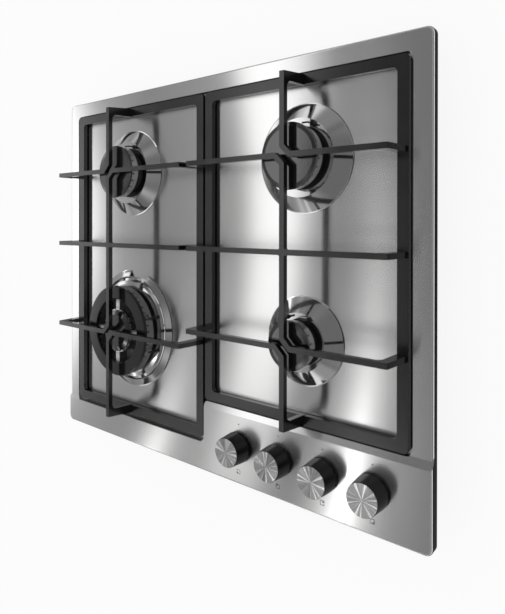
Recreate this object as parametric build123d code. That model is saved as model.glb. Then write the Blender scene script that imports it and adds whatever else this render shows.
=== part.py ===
from build123d import *
import os
from math import cos, pi, radians, sin, sqrt, tan

# Built-in gas hob with four burners.  Millimetres, +X right, +Y towards the wall, +Z up.
# Origin: centre of the plate, on the worktop surface that its rim rests on.

# ---------------------------------------------------------------- pressed plate
plate_w = 590.0
plate_d = 500.0
plate_corner_r = 8.0
sheet_t = 1.0
rim_z = 9.0                 # top of the rim
panel_z = 12.0              # top of the raised control panel
floor_z = 3.0               # top of the sunk cooking floor
edge_r = 2.6                # rounding where the rim turns down
flange_gap = 0.6            # the turned-down edge stops this far above the worktop
well_side = 20.5            # rim width left, right and at the back
well_corner_r = 6.0
well_draft = 10.0           # degrees, walls of the sunk floor
well_step_x = 0.5           # where its front edge steps back
panel_left_d = 35.0         # flat of the control panel on the left, under the wok burner
panel_left_slope = 4.0      # width of the slope from the rim up to it
well_left_lip = 1.0         # from that flat to the sunk floor's edge
panel_right_d = 81.5        # and the same on the right, round the knobs
panel_right_slope = 8.5
well_right_lip = 7.0

# ---------------------------------------------------------------- burner places
column_inset = 147.5        # burners' axes from the plate's sides
back_row_inset = 115.0      # rear burners from its back edge
small_inset = 183.0         # front right burner from its front edge
wok_inset = 162.5           # wok burner from its front edge

# ---------------------------------------------------------------- pan supports
support_gap = 3.4           # between the two supports
support_side_gap = 4.0      # to the side walls of the well
support_back_gap = 2.0
support_left_front_gap = 5.0
support_right_front_gap = 2.0
frame_bar_w = 11.8
frame_bar_h = 6.0
frame_corner_r = 5.0
foot_h = 1.5
foot_r = 4.2
foot_peg_r = 2.0
foot_peg_h = 3.0
foot_peg_clear = 0.05       # round the peg, in the frame's hole
foot_peg_gap = 0.2          # above it
finger_top_z = 48.5
finger_w = 6.0
finger_h = 6.2
finger_inset = 4.6          # the ends lean in by this much at the top
leg_w = 12.0
leg_inner_r = 7.0
middle_row_shift = -1.0      # middle finger, from halfway between the burner rows
link_gap = 7.6              # slot between the two links over a burner
crossing_gusset = 1.2       # fillet where the plain fingers cross
foot_inset = 6.0            # stud's axis from the frame's outer side
foot_corner_gap = 26.0      # and from its front or back

# ---------------------------------------------------------------- burners
trim_t = 0.8
trim_top_z = 16.0
trim_slope = 17.5           # radial width of the polished cone
trim_knee = 0.4             # keeps the skin even where the cone bends
trim_foot = 0.6
rapid_trim_r = 61.0
small_trim_r = 50.0
rapid_cap_r = 36.2
small_cap_r = 27.0
cap_z = 34.2                # the cap's seat on the crown
cap_edge_h = 2.0
cap_edge_bevel = 0.8
cap_dome_h = 0.4
cap_dome_w = 5.0            # where the flat top turns down to the edge
cap_spigot_h = 2.0
cap_spigot_w = 2.5
cap_spigot_bite = 0.5       # how far it is cast into the lid
crown_inset = 1.2           # crown wall behind the cap's edge
crown_wall = 4.0
crown_z = 23.0
crown_floor_h = 2.2
crown_floor_drop = 1.0      # its underside, below the wall's foot
crown_lip_h = 2.0           # undercut from the neck out to the wall
throat_rise = 3.0           # venturi above the crown's floor
throat_foot = 2.0           # and below it, short of the spigot's end
neck_inset = 5.5
seat_clear = 0.25
spigot_wall = 2.4
spigot_drop = 7.0
port_w = 1.6
port_h = 4.6
port_pitch = 9.0            # along the crown's circumference
throat_r = 6.0
throat_wall = 1.6
cup_wall = 2.6
cup_inset = 7.9             # cup's outer wall behind the crown's wall
cup_floor_z = -26.0
cup_taper_w = 4.0           # where the bowl narrows to its floor
cup_taper_h = 5.0
cup_taper_gap = 3.0         # the inside starts to narrow this much higher
cup_flange_w = 11.0
cup_flange_h = 2.4
cup_screw_r = 2.0
cup_screw_out = 6.05        # its axis from the cup's wall
cup_screw_angles = (-30.0, 210.0)
cup_hole_clear = 1.0
injector_r = 3.4
injector_h = 11.0
injector_boss_wall = 2.4
injector_boss_h = 6.0
injector_seat_h = 1.5       # left of the cup's floor below the jet
injector_hex_h = 3.0
injector_step = 0.8         # hexagon wider, tip slimmer than the thread
injector_bore_r = 0.7

# ---------------------------------------------------------------- wok burner
wok_cap_r = 62.6
wok_cap_bore_r = 44.0
wok_cap_t = 3.6
wok_cap_bevel = 1.3
wok_hub_r = 30.0            # inner flame ring
wok_hub_wall = 3.2
wok_inner_cap_inset = 1.4   # its lid leaves the ring's rim bare
wok_inner_cap_h = 4.0
wok_inner_cap_slope_w = 5.2
wok_cap_z = 31.0
wok_crown_z = 16.5
wok_crown_wall = 5.0
wok_crown_floor_t = 4.0
wok_crown_fit_h = 5.0       # how far the crown reaches into its base
wok_crown_fit_w = 3.0
wok_bore_overhang = 1.2     # of the cap over the crown's inner wall
wok_bridge_w = 7.6
wok_bridge_h = 12.5
wok_base_r = 52.0
wok_base_floor_t = 3.0
wok_cup_r = 34.0
wok_cup_taper_w = 6.0
wok_cup_taper_h = 7.0
wok_screw_out = 5.5
wok_trim_r = 83.0
wok_trim_w = 10.0
wok_trim_h = 5.0
wok_trim_bead = 0.8         # rolled edges of the band
wok_trim_notch_from = 66.0
wok_trim_notch_to = 93.0
wok_skirt_h = 10.2          # polished skirt from the band up to the crown
wok_skirt_gap = 0.8         # between it and the cast base

# ---------------------------------------------------------------- ignition
igniter_r = 2.6
igniter_pin_r = 0.9
igniter_wire_l = 7.0        # level end of the wire, beside the crown
igniter_wire_turn = 118.0   # its direction from the burner's radius
igniter_gap = 2.1           # between the crown and the ceramic
igniter_angle = 62.0
probe_angle = 118.0
probe_r = 2.2
probe_tip_r = 1.3
wok_igniter_angle = 20.0
wok_probe_angle = -20.0
igniter_bottom_z = -18.0
igniter_tip_z = 28.0
igniter_ceramic_z = 19.0
igniter_collar_w = 1.6
igniter_collar_h = 3.0
ceramic_clear = 0.2

# ---------------------------------------------------------------- controls
knob_count = 4
knob_side_inset = 61.3      # last knob's axis from the plate's right side
knob_front_inset = 45.2
knob_pitch = 58.4
knob_base_r = 18.4
knob_top_r = 17.0
knob_top_z = 35.0
knob_travel = 3.0
knob_plate_gap = 0.8        # left under a pressed knob
knob_wall = 2.0
knob_lid = 3.0
knob_hub_r = 7.0
knob_hub_rise = 1.5         # above the knob's lower edge
knob_disc_rim = 0.4         # of the black body round the disc
knob_disc_t = 1.0
knob_disc_proud = 0.2
knob_disc_fit = 0.05
knob_pointer_w = 1.1
knob_pointer_l = 8.0
knob_pointer_depth = 0.4
knob_pointer_angle = 18.0   # anticlockwise from straight back
spindle_r = 4.0
spindle_flat = 3.0          # from the axis to the D flat
spindle_fit = 0.05
spindle_collar_r = 5.6
spindle_collar_h = 1.6
grommet_r = 8.0
grommet_neck_r = 6.95
grommet_hole_clear = 0.05
grommet_under_h = 1.6
grommet_top_h = 0.5
grommet_bore_clear = 0.3
valve_w = 24.0
valve_d = 26.0
valve_top_z = -6.0
valve_h = 28.0
valve_neck_r = 9.5
valve_neck_h = 3.0
valve_throat_clear = 0.6    # round the spindle's collar
valve_cap_h = 1.0           # over the plunger's bore
valve_blind = 0.6           # left below a pressed spindle
valve_corner_r = 3.0
plunger_r = 7.6
plunger_h = 2.4
plunger_clear = 0.05
plunger_drop = 1.0          # plunger's top below its bore's top
spindle_tail = 6.0          # below the spring
spring_free_h = 9.0
spring_outer_r = 7.0
spring_inner_r = 5.0

# ---------------------------------------------------------------- gas pipes
manifold_r = 8.0
manifold_wall = 1.5
manifold_z = -24.0
manifold_bend_r = 26.0
manifold_side_gap = 17.0    # axis to the box wall
manifold_bite = 1.0         # how far the taps are cut round the pipe
manifold_end = 18.0         # beyond the first tap's axis
tube_r = 3.0
tube_wall = 0.8
tube_z = -11.0
tube_bend_r = 15.0
feed_rise = 26.0            # straight run behind the third tap
feed_rise_step = 4.0        # each tube to its left runs this much further
feed_wok_turn = 73.5        # last turn, from the wok burner's cup
feed_lane_x = 10.0          # rear left tube between the burner columns
feed_lane_back = 7.0        # its turn there, behind the small burner's axis
feed_rear_left_turn = 97.5  # and its last turn, from the burner's axis
feed_beside_small = 59.5    # rear right tube, from the small burner's axis
feed_small_front = 23.0
feed_rear_right_turn = 30.0
feed_rear_right_bend = 22.0
feed_small_turn = 24.0      # small burner's tube, before its axis
feed_small_bend = 33.7
union_r = 6.0
union_l = 9.0
union_gap = 0.3             # to the cup
inlet_r = 10.48
inlet_l = 12.0
inlet_bore_r = 6.5
inlet_hex_r = 13.0
inlet_hex_l = 8.0
inlet_collar_l = 4.0
inlet_collar_wall = 2.5
inlet_hole_clear = 1.0
inlet_bay_w = 46.0          # recess in the tray's rear right corner, for the hose
inlet_bay_d = 22.0
stub_wall = 1.6
stub_l = 4.0
tube_fit = 0.02

# ---------------------------------------------------------------- box under the worktop
box_side_gap = 3.0          # outside the well's walls
box_t = 1.0
box_floor_z = -42.0
box_corner_r = 6.0
box_vent_w = 4.0
box_vent_l = 46.0
box_vent_pitch = 12.0
box_vents = 5
box_front_gap = 3.4         # to the seal under the rim
clamp_hole_r = 2.1
clamp_side_inset = 27.5     # from the tray's walls
clamp_front_inset = 37.0
clamp_back_inset = 32.5
screw_head_r = 3.6
screw_head_h = 2.2
screw_l = 9.0
screw_clear = 0.1
seal_w = 7.0

# ---------------------------------------------------------------- spark unit
spark_w = 62.0
spark_d = 40.0
spark_h = 24.0
spark_shift = 3.0           # behind the middle fingers
spark_boss_pitch = 20.0
spark_corner_r = 3.0
spark_boss_r = 3.4
spark_boss_h = 7.0
lead_r = 1.5
lead_z = -37.5
lead_bend_r = 8.0
lead_run = 22.0             # straight out of its socket
gland_r = 7.0
gland_bore_r = 3.6
gland_flange_r = 9.5
gland_x = -215.0
gland_inner_l = 4.0
gland_lip_l = 2.0

# ---------------------------------------------------------------- derived places
left, right, front, back = -plate_w / 2, plate_w / 2, -plate_d / 2, plate_d / 2
column_x = right - column_inset
back_y = back - back_row_inset
front_right_y = front + small_inset
wok_y = front + wok_inset
middle_row_y = (back_y + front_right_y) / 2 + middle_row_shift
knob_y = front + knob_front_inset
spark_y = middle_row_y + spark_shift
well_left, well_right = left + well_side, right - well_side
well_back = back - well_side
panel_left_y = front + panel_left_d
panel_right_y = front + panel_right_d
well_front_left = panel_left_y + well_left_lip
well_front_right = panel_right_y + well_right_lip
floor_under_z = floor_z - sheet_t
panel_under_z = panel_z - sheet_t
frame_z = floor_z + foot_h
knob_xs = [right - knob_side_inset - (knob_count - 1 - i) * knob_pitch for i in range(knob_count)]
spindle_top_z = knob_top_z - knob_lid
knob_bottom_z = panel_z + knob_travel + knob_plate_gap
plunger_top_z = valve_top_z - valve_cap_h - plunger_drop
spring_bottom_z = plunger_top_z - plunger_h - spring_free_h
box_left, box_right = well_left - box_side_gap, well_right + box_side_gap
box_back = well_back + box_side_gap
box_front = front + edge_r + seal_w + box_front_gap
inner_right = box_right - box_t
bay_x, bay_y = box_right - inlet_bay_w, box_back - inlet_bay_d
inner_floor_z = box_floor_z + box_t
manifold_y = knob_y + valve_d / 2 + manifold_r - manifold_bite
manifold_x = inner_right - manifold_side_gap


def block(x0, x1, y0, y1, z0, z1):
    """Box given by its two corners."""
    solid = Box(x1 - x0, y1 - y0, z1 - z0, align=(Align.MIN, Align.MIN, Align.MIN))
    return Pos(x0, y0, z0) * solid


def drum(radius, z0, z1, x=0.0, y=0.0):
    """Upright cylinder from z0 to z1."""
    solid = Cylinder(radius, z1 - z0, align=(Align.CENTER, Align.CENTER, Align.MIN))
    return Pos(x, y, z0) * solid


def lathe(*profile):
    """Turned piece: a closed outline of (radius, height) points about Z."""
    outline = Polyline(*[(r, 0, z) for r, z in profile], close=True)
    return revolve(make_face(outline), Axis.Z)


def rounded_plan(x0, x1, y0, y1, radius):
    """Rectangle with rounded corners, in the XY plane."""
    return Pos((x0 + x1) / 2, (y0 + y1) / 2) * RectangleRounded(x1 - x0, y1 - y0, radius)


def polar(radius, angle):
    """Point on a circle, angle in degrees from +X."""
    return radius * cos(radians(angle)), radius * sin(radians(angle))


def pipe(points, radius, bend, bore=0.0):
    """Round tube along straight runs with one bend radius."""
    path = FilletPolyline(*points, radius=bend) if len(points) > 2 else Polyline(*points)
    start = Plane(origin=path @ 0, z_dir=path % 0)
    section = start * Circle(radius)
    if bore > 0:
        section = section - start * Circle(bore)
    return sweep(section, path=path)


# ================================================================ plate
def well_outline(grow):
    """Plan of the sunk floor: the left half reaches further forward."""
    points = [
        (well_left - grow, well_back + grow),
        (well_right + grow, well_back + grow),
        (well_right + grow, well_front_right - grow),
        (well_step_x + grow, well_front_right - grow),
        (well_step_x + grow, well_front_left - grow),
        (well_left - grow, well_front_left - grow),
    ]
    plan = make_face(Polyline(*points, close=True))
    return fillet(plan.vertices(), well_corner_r)


def well_tool(grow, drop):
    """Solid that presses the floor down, wider at the top."""
    height = panel_z - floor_z + 2 * sheet_t
    foot = Pos(0, 0, floor_z - drop) * well_outline(grow - (rim_z - floor_z) * tan(radians(well_draft)))
    return extrude(foot, amount=height + drop, taper=-well_draft)


def panel_side(inset, z0, z1):
    """Where the panel is raised: its rear edge slopes and is stepped."""
    def plan(z):
        share = (z1 - z) / (panel_z - rim_z)
        y_left = panel_left_y - inset + share * panel_left_slope
        y_right = panel_right_y - inset + share * panel_right_slope
        x_step = well_step_x + inset - share * panel_left_slope
        far = plate_w
        outline = Polyline((-far, -far), (far, -far), (far, y_right), (x_step, y_right),
                           (x_step, y_left), (-far, y_left), close=True)
        return Pos(0, 0, z) * make_face(outline)
    return loft([plan(z0), plan(z1)], ruled=True)


def pressed_form(skin):
    """Plate as a solid, made smaller by one skin."""
    plan = rounded_plan(left + skin, right - skin, front + skin, back - skin, plate_corner_r - skin)
    levels = []
    for top in (rim_z - skin, panel_z - skin):
        slab = extrude(Pos(0, 0, flange_gap) * plan, amount=top - flange_gap)
        levels.append(fillet(slab.faces().sort_by(Axis.Z)[-1].edges(), edge_r - skin))
    rim, raised = levels
    return rim + (raised & panel_side(skin, rim_z - edge_r - skin, panel_z - skin))


def top_plate():
    """Pressed sheet with a turned-down edge and all its holes."""
    shell = pressed_form(0.0) - well_tool(0.0, 0.0)
    inside = pressed_form(sheet_t) - well_tool(sheet_t, sheet_t)
    plate = shell - inside
    for burner in BURNERS:
        plate = plate - drum(burner.cup_r + cup_hole_clear, 0, panel_z, burner.x, burner.y)
        for x, y in burner.screw_places():
            plate = plate - drum(cup_screw_r, 0, panel_z, x, y)
        for x, y in burner.pin_places():
            plate = plate - drum(igniter_r + ceramic_clear, 0, panel_z, x, y)
    for x in knob_xs:
        plate = plate - drum(grommet_neck_r + grommet_hole_clear, 0, panel_z + 1, x, knob_y)
    return plate


def edge_seal():
    """Foam strip under the rim, which the hob rests on."""
    inset = edge_r
    outer = rounded_plan(left + inset, right - inset, front + inset, back - inset, plate_corner_r - inset)
    inset = edge_r + seal_w
    inner = rounded_plan(left + inset, right - inset, front + inset, back - inset, plate_corner_r)
    strip = extrude(outer - inner, amount=rim_z - sheet_t)
    tall = extrude(outer - inner, amount=panel_under_z)
    for x0, x1, y1 in ((left, well_step_x, panel_left_y), (well_step_x, right, panel_right_y)):
        strip = strip + (tall & block(x0, x1, front, y1 - 2 * sheet_t, 0, panel_z))
    return strip


# ================================================================ burners
class Burner:
    """Place and radii of one burner; everything else follows from them."""

    def __init__(self, name, x, y, cap_r, trim_r, pins):
        self.name = name
        self.x = x
        self.y = y
        self.cap_r = cap_r
        self.trim_r = trim_r
        self.pins = pins
        self.crown_r = cap_r - crown_inset
        self.cup_r = self.crown_r - cup_inset

    def place(self, solid):
        return Pos(self.x, self.y, 0) * solid

    def pin_radius(self):
        return self.crown_r + igniter_gap + igniter_r

    def pin_places(self):
        return [tuple(a + b for a, b in zip((self.x, self.y), polar(self.pin_radius(), angle)))
                for angle in self.pins]

    def screw_radius(self):
        return self.cup_r + cup_screw_out

    def screw_places(self):
        return [tuple(a + b for a, b in zip((self.x, self.y), polar(self.screw_radius(), angle)))
                for angle in cup_screw_angles]

    def trim(self):
        """Polished cone with a flat top, one skin thick."""
        top_r = self.trim_r - trim_slope
        hole = self.cup_r - cup_wall
        t = trim_t
        cone = lathe((self.trim_r, floor_z), (self.trim_r, floor_z + t), (top_r, trim_top_z),
                     (hole, trim_top_z), (hole, trim_top_z - t), (top_r - trim_knee, trim_top_z - t),
                     (self.trim_r - t - trim_foot, floor_z))
        for angle in self.pins:
            x, y = polar(self.pin_radius(), angle)
            cone = cone - drum(igniter_r + ceramic_clear, floor_z, trim_top_z + 1, x, y)
        return self.place(cone)

    def bowl(self, upper, taper_w, taper_h):
        """Mixing cup below the plate; upper is the outline above the plate's floor."""
        r, inner = self.cup_r, self.cup_r - cup_wall
        seat = cup_floor_z + injector_seat_h
        body = lathe((0, cup_floor_z), (r - taper_w, cup_floor_z), (r, cup_floor_z + taper_h), (r, floor_z),
                     *upper, (inner, cup_floor_z + taper_h + cup_taper_gap),
                     (inner - taper_w, cup_floor_z + cup_wall), (0, cup_floor_z + cup_wall))
        body = body + drum(injector_r + injector_boss_wall, cup_floor_z, cup_floor_z + injector_boss_h)
        return body - drum(injector_r, seat, cup_floor_z + injector_boss_h + 1)

    def screw_holes(self, top):
        """Holes for the screws, in the burner's own coordinates."""
        places = [polar(self.screw_radius(), angle) for angle in cup_screw_angles]
        return [drum(cup_screw_r, floor_z - 1, top + 1, x, y) for x, y in places]

    def cup(self):
        """Cast cup that hangs through the plate and holds the injector."""
        r, w = self.cup_r, cup_wall
        seat, flange = trim_top_z - trim_t, floor_z + cup_flange_h
        body = self.bowl([(r + cup_flange_w, floor_z), (r + cup_flange_w, flange), (r, flange),
                          (r, seat), (r - w, seat)], cup_taper_w, cup_taper_h)
        for hole in self.screw_holes(flange):
            body = body - hole
        for angle in self.pins:
            x, y = polar(self.pin_radius(), angle)
            body = body - drum(igniter_r + ceramic_clear, -1, seat, x, y)
        return self.place(body)

    def injector(self):
        """Brass jet screwed into the cup's floor."""
        boss = cup_floor_z + injector_boss_h
        jet = drum(injector_r, cup_floor_z + injector_seat_h, boss + injector_hex_h)
        jet = jet + Pos(0, 0, boss) * extrude(RegularPolygon(injector_r + injector_step, 6), amount=injector_hex_h)
        jet = jet + drum(injector_r - injector_step, boss + injector_hex_h, cup_floor_z + injector_h)
        jet = jet - drum(injector_bore_r, cup_floor_z, cup_floor_z + injector_h + 1)
        return self.place(jet)

    def crown(self):
        """Flame spreader: a slotted wall over a necked venturi."""
        r, w = self.crown_r, crown_wall
        neck = self.crown_r - neck_inset
        spigot = self.cup_r - cup_wall - seat_clear
        low = trim_top_z - spigot_drop
        throat = throat_r + throat_wall
        top = crown_z + crown_floor_h
        ring = lathe((spigot - spigot_wall, low), (spigot, low), (spigot, trim_top_z), (neck, trim_top_z),
                     (neck, crown_z - crown_lip_h), (r, crown_z), (r, cap_z), (r - w, cap_z), (r - w, top),
                     (throat, top), (throat, top + throat_rise), (throat_r, top + throat_rise),
                     (throat_r, low + throat_foot), (throat, low + throat_foot),
                     (throat, crown_z - crown_floor_drop), (spigot - spigot_wall, crown_z - crown_floor_drop))
        count = max(8, round(2 * pi * r / port_pitch))
        slot = block(r - w - 1, r + 1, -port_w / 2, port_w / 2, cap_z - port_h, cap_z + 1)
        for i in range(count):
            ring = ring - Rot(0, 0, 360.0 * (i + 0.5) / count) * slot
        return self.place(ring)

    def cap(self):
        """Enamelled lid with a locating ring underneath."""
        r = self.cap_r
        inner = self.crown_r - crown_wall - seat_clear
        edge = cap_z + cap_edge_h
        lid = lathe((0, cap_z), (r, cap_z), (r, edge - cap_edge_bevel), (r - cap_edge_bevel, edge),
                    (r - cap_dome_w, edge + cap_dome_h), (0, edge + cap_dome_h))
        return self.place(lid + self.spigot(inner, cap_z))

    def spigot(self, radius, z):
        """Ring under a cap that centres it on its crown."""
        low, high = z - cap_spigot_h, z + cap_spigot_bite
        return lathe((radius - cap_spigot_w, low), (radius, low), (radius, high), (radius - cap_spigot_w, high))


class WokBurner(Burner):
    """Large burner: an outer and an inner flame ring joined by four bridges."""

    def __init__(self, name, x, y, pins):
        super().__init__(name, x, y, wok_cap_r, wok_trim_r, pins)
        self.cup_r = wok_cup_r

    def screw_radius(self):
        return self.cup_r + wok_screw_out

    def trim(self):
        """Low polished band, notched at the back, round a domed skirt."""
        r, w, t, bead = self.trim_r, wok_trim_w, trim_t, wok_trim_bead
        top = floor_z + wok_trim_h
        band = lathe((r, floor_z), (r, floor_z + t), (r - bead, floor_z + t + bead / 2),
                     (r - w + 2 * bead, top - bead / 2), (r - w + bead, top), (r - w, top),
                     (r - w, floor_z), (r - w + t, floor_z), (r - w + t, top - t - bead),
                     (r - t - bead, floor_z))
        middle = (wok_trim_notch_from + wok_trim_notch_to) / 2
        half = (wok_trim_notch_to - wok_trim_notch_from) / 2
        reach = 2 * r
        notch = make_face(Polyline((0, 0), polar(reach, middle - half), polar(reach, middle + half), close=True))
        band = band - extrude(Pos(0, 0, floor_z - 1) * notch, amount=wok_trim_h + 3)
        outer, inner, h = r - w, wok_base_r + wok_skirt_gap, wok_skirt_h
        skirt = lathe((outer, floor_z), (outer, floor_z + 0.3 * h), (outer - 0.15 * w, floor_z + 0.55 * h),
                      (outer - 0.5 * w, floor_z + 0.8 * h), (outer - w, floor_z + 0.92 * h), (inner, floor_z + h),
                      (inner, floor_z + h - t), (outer - w, floor_z + 0.92 * h - t),
                      (outer - 0.5 * w - t, floor_z + 0.8 * h - t), (outer - t, floor_z + 0.3 * h),
                      (outer - t, floor_z))
        for angle in self.pins:
            x, y = polar(self.pin_radius(), angle)
            skirt = skirt - drum(igniter_r + ceramic_clear, floor_z, floor_z + h + 1, x, y)
        return self.place(band + skirt)

    def cup(self):
        """Wide cast base on the plate, with the mixing cup below it."""
        base, w, seat = wok_base_r, cup_wall, wok_crown_z
        shelf = floor_z + wok_base_floor_t
        body = self.bowl([(base, floor_z), (base, seat), (base - w, seat), (base - w, shelf),
                          (self.cup_r - w, shelf)], wok_cup_taper_w, wok_cup_taper_h)
        for hole in self.screw_holes(shelf):
            body = body - hole
        return self.place(body)

    def crown(self):
        """Both flame rings and the four arms that join them, in one casting."""
        r, w, floor_t = self.crown_r, wok_crown_wall, wok_crown_floor_t
        bore = wok_cap_bore_r + wok_bore_overhang
        z0, z1 = wok_crown_z, wok_cap_z
        fit_r, fit_z = wok_base_r - cup_wall - seat_clear, wok_crown_z - wok_crown_fit_h
        hub, hub_in = wok_hub_r, wok_hub_r - wok_hub_wall
        outer = lathe((bore, z0), (fit_r - wok_crown_fit_w, z0), (fit_r - wok_crown_fit_w, fit_z),
                      (fit_r, fit_z), (fit_r, z0), (r - w / 2, z0), (r, z0 + w / 2), (r, z1), (r - w, z1),
                      (r - w, z0 + floor_t), (bore + w, z0 + floor_t), (bore + w, z1), (bore, z1))
        inner = lathe((throat_r, fit_z), (throat_r + throat_wall, fit_z), (throat_r + throat_wall, z0),
                      (hub, z0), (hub, z1), (hub_in, z1), (hub_in, z0 + floor_t), (throat_r, z0 + floor_t))
        body = outer + inner
        arm = block(hub - 1, bore + 1, -wok_bridge_w / 2, wok_bridge_w / 2, z1 - wok_bridge_h, z1)
        for i in range(4):
            body = body + Rot(0, 0, 90.0 * i) * arm
        for wall_in, wall_out in ((r - w, r), (bore, bore + w), (hub_in, hub)):
            slot = block(wall_in - 1, wall_out + 1, -port_w / 2, port_w / 2, z1 - port_h, z1 + 1)
            count = 4 * max(2, round(2 * pi * wall_out / port_pitch / 4))
            for i in range(count):
                body = body - Rot(0, 0, 360.0 * (i + 0.5) / count) * slot
        return self.place(body)

    def cap(self):
        """Enamelled ring over the outer flame ring."""
        r, bore, z0, bevel = self.cap_r, wok_cap_bore_r, wok_cap_z, wok_cap_bevel
        top = z0 + wok_cap_t
        lid = lathe((bore, z0), (r, z0), (r, top - bevel), (r - bevel, top), (bore + bevel, top),
                    (bore, top - bevel))
        inner = self.crown_r - wok_crown_wall - seat_clear
        return self.place(lid + self.spigot(inner, z0))

    def inner_cap(self):
        """Small enamelled lid over the inner flame ring."""
        r, z0 = wok_hub_r - wok_inner_cap_inset, wok_cap_z
        top = z0 + wok_inner_cap_h
        lid = lathe((0, z0), (r, z0), (r, z0 + 0.4 * wok_inner_cap_h), (r - 1.0, z0 + 0.6 * wok_inner_cap_h),
                    (r - 1.0 - wok_inner_cap_slope_w, top), (0, top))
        inner = wok_hub_r - wok_hub_wall - seat_clear
        return self.place(lid + self.spigot(inner, z0))


pins = (igniter_angle, probe_angle)
BURNERS = [
    Burner("back_left", -column_x, back_y, rapid_cap_r, rapid_trim_r, pins),
    Burner("back_right", column_x, back_y, rapid_cap_r, rapid_trim_r, pins),
    Burner("front_right", column_x, front_right_y, small_cap_r, small_trim_r, pins),
    WokBurner("wok", -column_x, wok_y, (wok_igniter_angle, wok_probe_angle)),
]


def igniter(burner, index):
    """Ceramic rod with a collar and a steel tip, or the flame probe beside it."""
    x, y = burner.pin_places()[index]
    collar = drum(igniter_r + igniter_collar_w, floor_under_z - igniter_collar_h, floor_under_z)
    if index == 1:
        rod = drum(probe_r, igniter_bottom_z, igniter_ceramic_z) + drum(probe_tip_r, igniter_ceramic_z, igniter_tip_z)
        return Pos(x, y, 0) * (rod + collar)
    rod = drum(igniter_r, igniter_bottom_z, igniter_ceramic_z)
    rod = rod + drum(igniter_pin_r, igniter_ceramic_z, igniter_tip_z)
    way = polar(1.0, burner.pins[index] + igniter_wire_turn)
    bend = Plane(origin=(0, 0, igniter_tip_z - igniter_pin_r), z_dir=(*way, 0))
    wire = extrude(bend * Circle(igniter_pin_r), amount=igniter_wire_l)
    return Pos(x, y, 0) * (rod + collar + wire)


def screw(x, y, head_z, length):
    """Pan-head screw standing on head_z, pointing down."""
    head = drum(screw_head_r, head_z, head_z + screw_head_h, x, y)
    return head + drum(cup_screw_r - screw_clear, head_z - length, head_z, x, y)


def burner_screws():
    group = []
    for burner in BURNERS:
        seat = floor_z + (wok_base_floor_t if isinstance(burner, WokBurner) else cup_flange_h)
        for x, y in burner.screw_places():
            group.append(screw(x, y, seat, screw_l))
    return Compound(children=group)


# ================================================================ pan supports
def bridge(length, top_z, bar_h, thick, along_y):
    """Finger with a leaning leg at each end, as one cast bar."""
    half = length / 2
    top_half = half - finger_inset
    under = top_z - bar_h
    foot = frame_z
    lean = finger_inset * (under - foot) / (top_z - foot)
    outer = Polyline((-half, foot), (-top_half, top_z), (top_half, top_z), (half, foot), close=True)
    inner = Polyline((-half + leg_w, foot - 1), (-half + leg_w + lean * 0.5, under),
                     (half - leg_w - lean * 0.5, under), (half - leg_w, foot - 1), close=True)
    hollow = make_face(inner)
    corners = hollow.vertices().sort_by(Axis.Y)[-2:]
    profile = make_face(outer) - fillet(corners, leg_inner_r)
    bar = extrude(Plane.XZ * profile, amount=thick / 2, both=True)
    return Rot(0, 0, 90) * bar if along_y else bar


def burner_links(x, y, sign):
    """Two bars that turn past each other over a burner, and the room cut for them."""
    reach = (link_gap + finger_w) / sqrt(2)
    end = 2 * reach
    z = finger_top_z - finger_h
    bars = []
    for way in (1, -1):
        path = Polyline((0, way * end), (0, way * reach), (way * sign * reach, 0), (way * sign * end, 0))
        bars.append(make_face(offset(path, finger_w / 2, side=Side.BOTH)))
    room = Rectangle(2 * reach, 2 * reach)
    place = Pos(x, y, z)
    links = [place * extrude(bar, amount=finger_h) for bar in bars]
    return links, Pos(x, y, z - finger_h) * extrude(room, amount=3 * finger_h)


def pan_support(x0, x1, y0, y1, column, rows, sign):
    """Cast frame, one finger front to back and three across."""
    mid_x, mid_y = (x0 + x1) / 2, (y0 + y1) / 2
    w = frame_bar_w
    ring = rounded_plan(x0, x1, y0, y1, frame_corner_r) - rounded_plan(x0 + w, x1 - w, y0 + w, y1 - w, frame_corner_r)
    frame = extrude(Pos(0, 0, frame_z) * ring, amount=frame_bar_h)
    fingers = Pos(column, mid_y, 0) * bridge(y1 - y0, finger_top_z, finger_h, finger_w, True)
    for y in (rows[0], middle_row_y, rows[1]):
        fingers = fingers + Pos(mid_x, y, 0) * bridge(x1 - x0, finger_top_z, finger_h, finger_w, False)
    side = crossing_gusset + finger_w
    gusset = Rot(0, 0, 45) * Box(side * sqrt(2), side * sqrt(2), finger_h)
    fingers = fingers + Pos(column, middle_row_y, finger_top_z - finger_h / 2) * gusset
    for y in rows:
        links, room = burner_links(column, y, sign)
        fingers = fingers - room + links[0] + links[1]
    body = frame + fingers
    for x, y in foot_places(x0, x1, y0, y1):
        body = body - drum(foot_peg_r, frame_z - 1, frame_z + foot_peg_h, x, y)
    return body


def foot_places(x0, x1, y0, y1):
    return [(x, y) for x in (x0 + foot_inset, x1 - foot_inset)
            for y in (y0 + foot_corner_gap, y1 - foot_corner_gap)]


def support_feet(x0, x1, y0, y1):
    """Rubber studs pressed into the frame, which rest on the sunk floor."""
    group = []
    for x, y in foot_places(x0, x1, y0, y1):
        pad = drum(foot_r, floor_z, frame_z, x, y)
        peg = drum(foot_peg_r - foot_peg_clear, frame_z, frame_z + foot_peg_h - foot_peg_gap, x, y)
        group.append(pad + peg)
    return Compound(children=group)


left_support = (well_left + support_side_gap, -support_gap / 2,
                well_front_left + support_left_front_gap, well_back - support_back_gap)
right_support = (support_gap / 2, well_right - support_side_gap,
                 well_front_right + support_right_front_gap, well_back - support_back_gap)


# ================================================================ controls and gas
def d_section(radius, flat):
    return Circle(radius) - Pos(0, flat + radius) * Rectangle(4 * radius, 2 * radius)


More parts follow.
